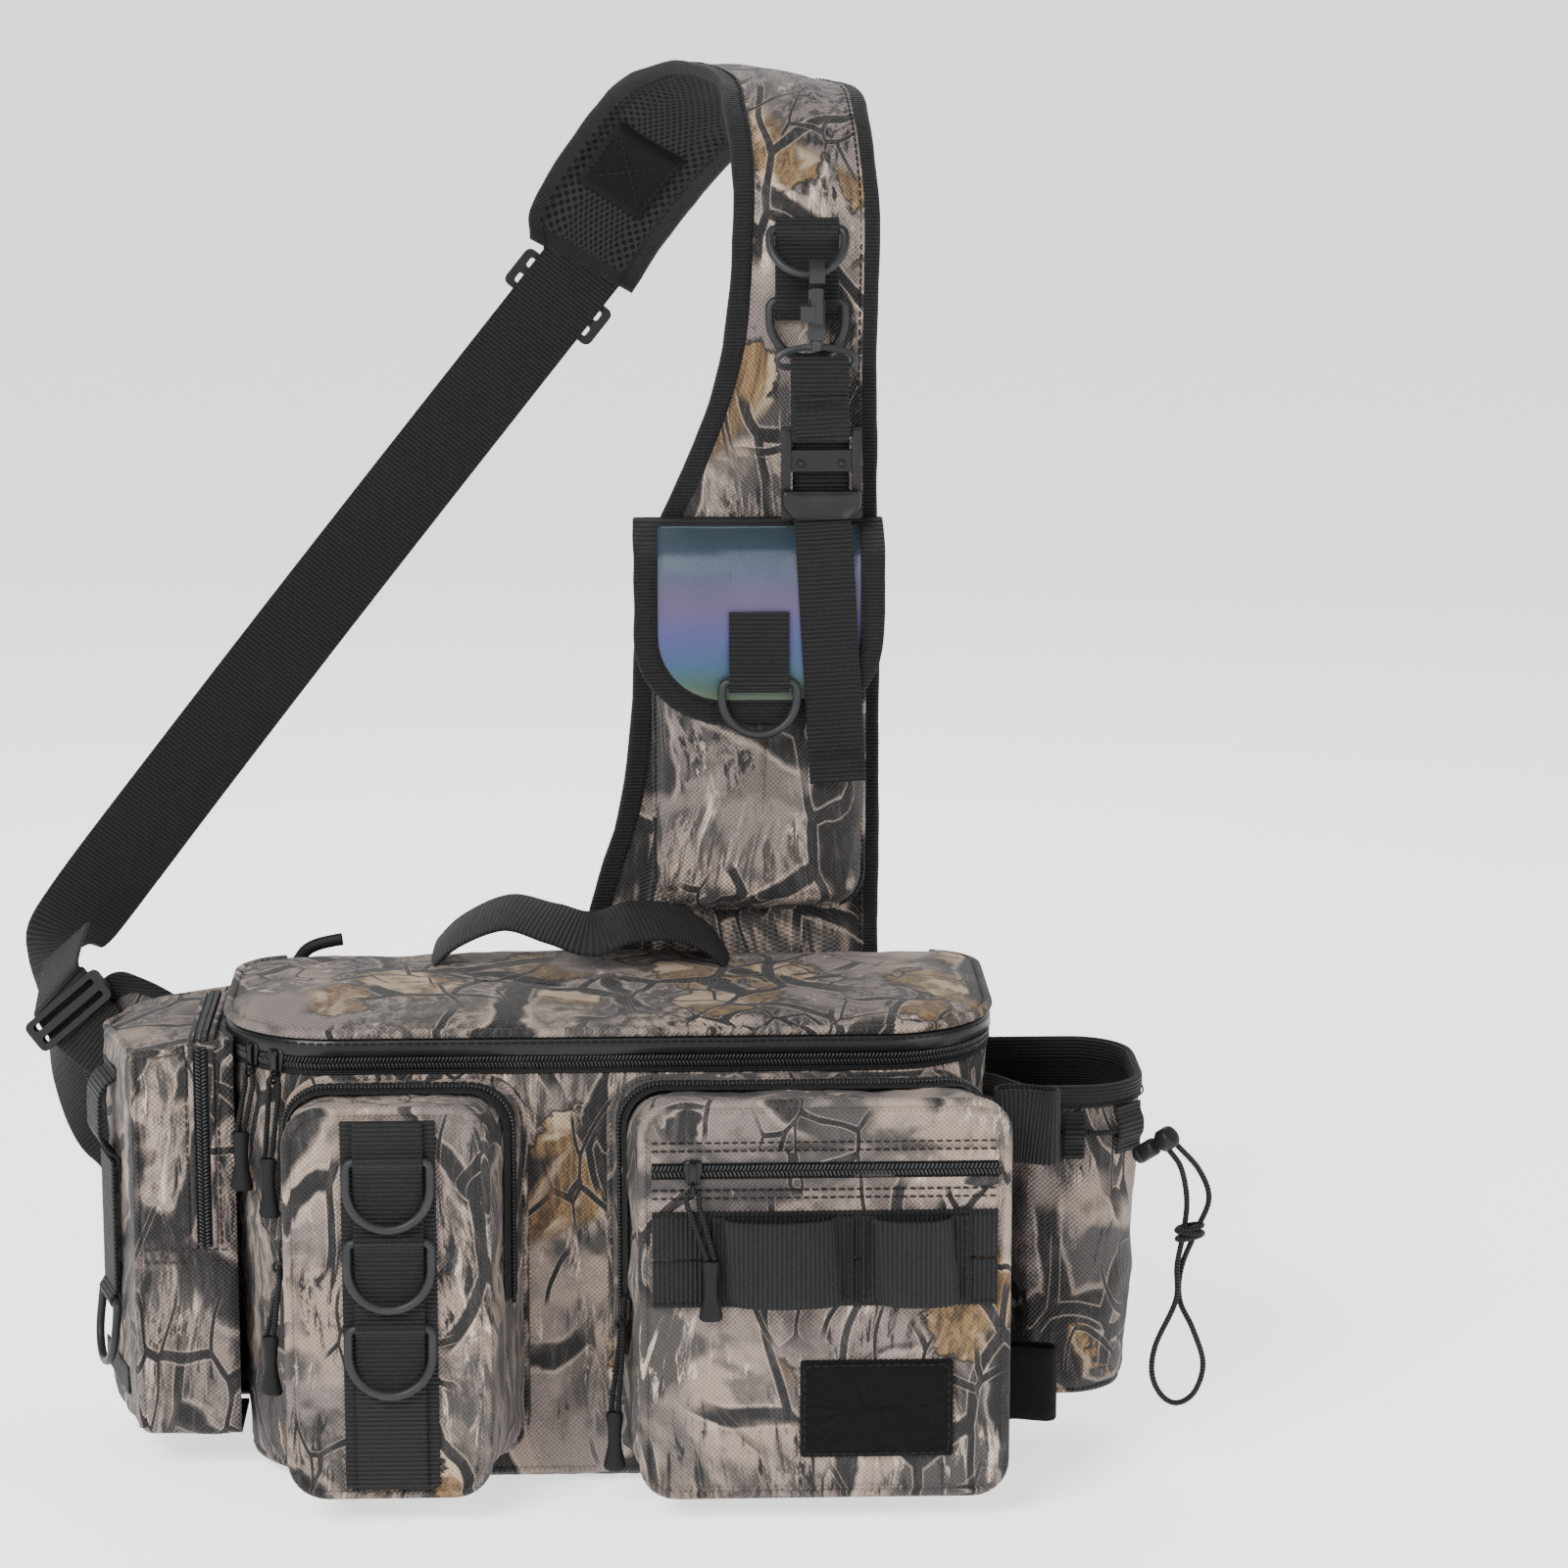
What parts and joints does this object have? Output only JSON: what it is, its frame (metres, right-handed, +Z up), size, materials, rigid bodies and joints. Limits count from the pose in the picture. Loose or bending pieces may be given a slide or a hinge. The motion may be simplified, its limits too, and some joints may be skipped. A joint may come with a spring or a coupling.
{
  "type": "fishing tackle sling bag",
  "caption": "Hanging fishing tackle sling bag with front, side and bottle pockets, padded sling with pouch, webbing, rings, zipper pulls and a cord lock.",
  "frame": {"origin": "underside of the sling pad's crest, where it sits on the shoulder that holds the bag up", "axes": "+Z up, +X to the right of someone who looks at the bag's front, front towards -Y"},
  "size_m": [0.5121, 0.3928, 0.5726],
  "materials": {
    "camo_cloth": "matte oxford weave with a woodland print",
    "black_webbing": "ribbed woven tape",
    "cord": "braided round cord",
    "hook_and_loop": "fuzzy loop pile",
    "colour_shift_panel": "satin film that shifts from blue to violet and green",
    "dark_metal": "satin gunmetal coat",
    "dark_plastic": "satin moulded",
    "grip_rubber": "soft moulded rubber"
  },
  "bodies": {
    "bag": {"main_body": "camo_cloth", "lid": "camo_cloth", "rear_pocket": "camo_cloth", "small_pocket": "camo_cloth", "large_pocket": "camo_cloth", "side_pocket": "camo_cloth", "bottle_pocket": "camo_cloth", "sling_pad": "camo_cloth", "sling_pouch": "camo_cloth", "wing_pad": "camo_cloth", "main_zipper": "black_webbing", "ring_webbing": "black_webbing", "face_zipper": "black_webbing", "tool_webbing": "black_webbing", "side_loop": "black_webbing", "side_ring_tab": "black_webbing", "bottle_tabs": "black_webbing", "carry_handle": "black_webbing", "flap_tab": "black_webbing", "pad_ring_webbing": "black_webbing", "hook_webbing": "black_webbing", "tail_webbing": "black_webbing", "wing_webbing": "black_webbing", "shoulder_webbing": "black_webbing", "draw_cord": "cord", "draw_knot": "cord", "main_pull_cord_left": "cord", "main_pull_cord_right": "cord", "small_pull_cord": "cord", "large_pull_cord": "cord", "face_pull_cord": "cord", "patch": "hook_and_loop", "rod_strap_upper": "hook_and_loop", "rod_strap_lower": "hook_and_loop", "pouch_flap": "colour_shift_panel", "pad_ring_upper": "dark_metal", "snap_hook": "dark_metal", "swivel_base": "dark_metal", "main_slider_left": "dark_metal", "main_slider_right": "dark_metal", "small_slider": "dark_metal", "large_slider": "dark_metal", "face_slider": "dark_metal", "cord_lock_barrel": "dark_plastic", "ladder_lock": "dark_plastic", "strap_adjuster": "dark_plastic", "wing_triglide": "dark_plastic", "main_pull_left": "grip_rubber", "main_pull_right": "grip_rubber", "small_pull": "grip_rubber", "large_pull": "grip_rubber", "face_pull": "grip_rubber"},
    "top_ring": {"pocket_ring_top": "dark_metal"},
    "middle_ring": {"pocket_ring_middle": "dark_metal"},
    "bottom_ring": {"pocket_ring_bottom": "dark_metal"},
    "side_d_ring": {"side_ring": "dark_metal"},
    "flap_d_ring": {"flap_ring": "dark_metal"},
    "lower_pad_ring": {"pad_ring_lower": "dark_metal"},
    "hook_gate": {"snap_gate": "dark_metal"},
    "lock_button": {"cord_lock_button": "dark_plastic"}
  },
  "joints": [
    {"name": "top_ring_swing", "type": "hinge", "parent": "bag", "child": "top_ring", "pos_m": [-0.15452, -0.28362, -0.40571], "axis": [-1, 0, 0], "range_deg": [0, 100]},
    {"name": "middle_ring_swing", "type": "hinge", "parent": "bag", "child": "middle_ring", "pos_m": [-0.15452, -0.28362, -0.43921], "axis": [-1, 0, 0], "range_deg": [0, 100]},
    {"name": "bottom_ring_swing", "type": "hinge", "parent": "bag", "child": "bottom_ring", "pos_m": [-0.15452, -0.28362, -0.47521], "axis": [-1, 0, 0], "range_deg": [0, 100]},
    {"name": "side_ring_swing", "type": "hinge", "parent": "bag", "child": "side_d_ring", "pos_m": [-0.27728, -0.17719, -0.49371], "axis": [-0.2873, 0.9578, 0], "range_deg": [0, 100]},
    {"name": "flap_ring_swing", "type": "hinge", "parent": "bag", "child": "flap_d_ring", "pos_m": [-0.00122, -0.12472, -0.24271], "axis": [-1, 0, 0], "range_deg": [0, 90]},
    {"name": "lower_pad_ring_swing", "type": "hinge", "parent": "bag", "child": "lower_pad_ring", "pos_m": [0.01997, -0.10082, -0.08331], "axis": [-1, 0, 0], "range_deg": [0, 4]},
    {"name": "hook_gate_slide", "type": "slide", "parent": "bag", "child": "hook_gate", "axis": [0, 0, -1], "range_m": [0, 0.006], "stiffness_N_per_m": 300},
    {"name": "lock_button_press", "type": "slide", "parent": "bag", "child": "lock_button", "axis": [-0.6275, 0.5265, -0.5736], "range_m": [0, 0.003], "stiffness_N_per_m": 300}
  ]
}
